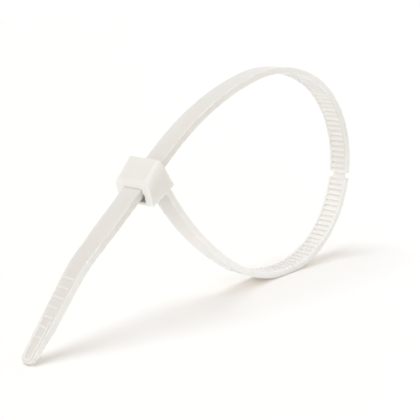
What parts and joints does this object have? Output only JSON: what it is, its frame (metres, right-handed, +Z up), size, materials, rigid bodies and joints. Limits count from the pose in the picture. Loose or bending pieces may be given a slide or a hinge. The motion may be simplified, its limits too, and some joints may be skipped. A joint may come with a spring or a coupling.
{
  "type": "cable tie",
  "caption": "One-piece nylon cable tie closed in a loop, with inner teeth, a slanted head with a pawl, and a ribbed, tapered tail.",
  "frame": {"origin": "on the floor under the middle of the tie's box", "axes": "+X from the tail's tip to the far side of the loop, +Y across the strap's width, +Z up"},
  "size_m": [0.067, 0.0072, 0.0341],
  "materials": {
    "nylon": "natural nylon, milky white and slightly translucent, smooth satin from the mould"
  },
  "bodies": {
    "root": {"cable_tie": "nylon"}
  },
  "joints": []
}
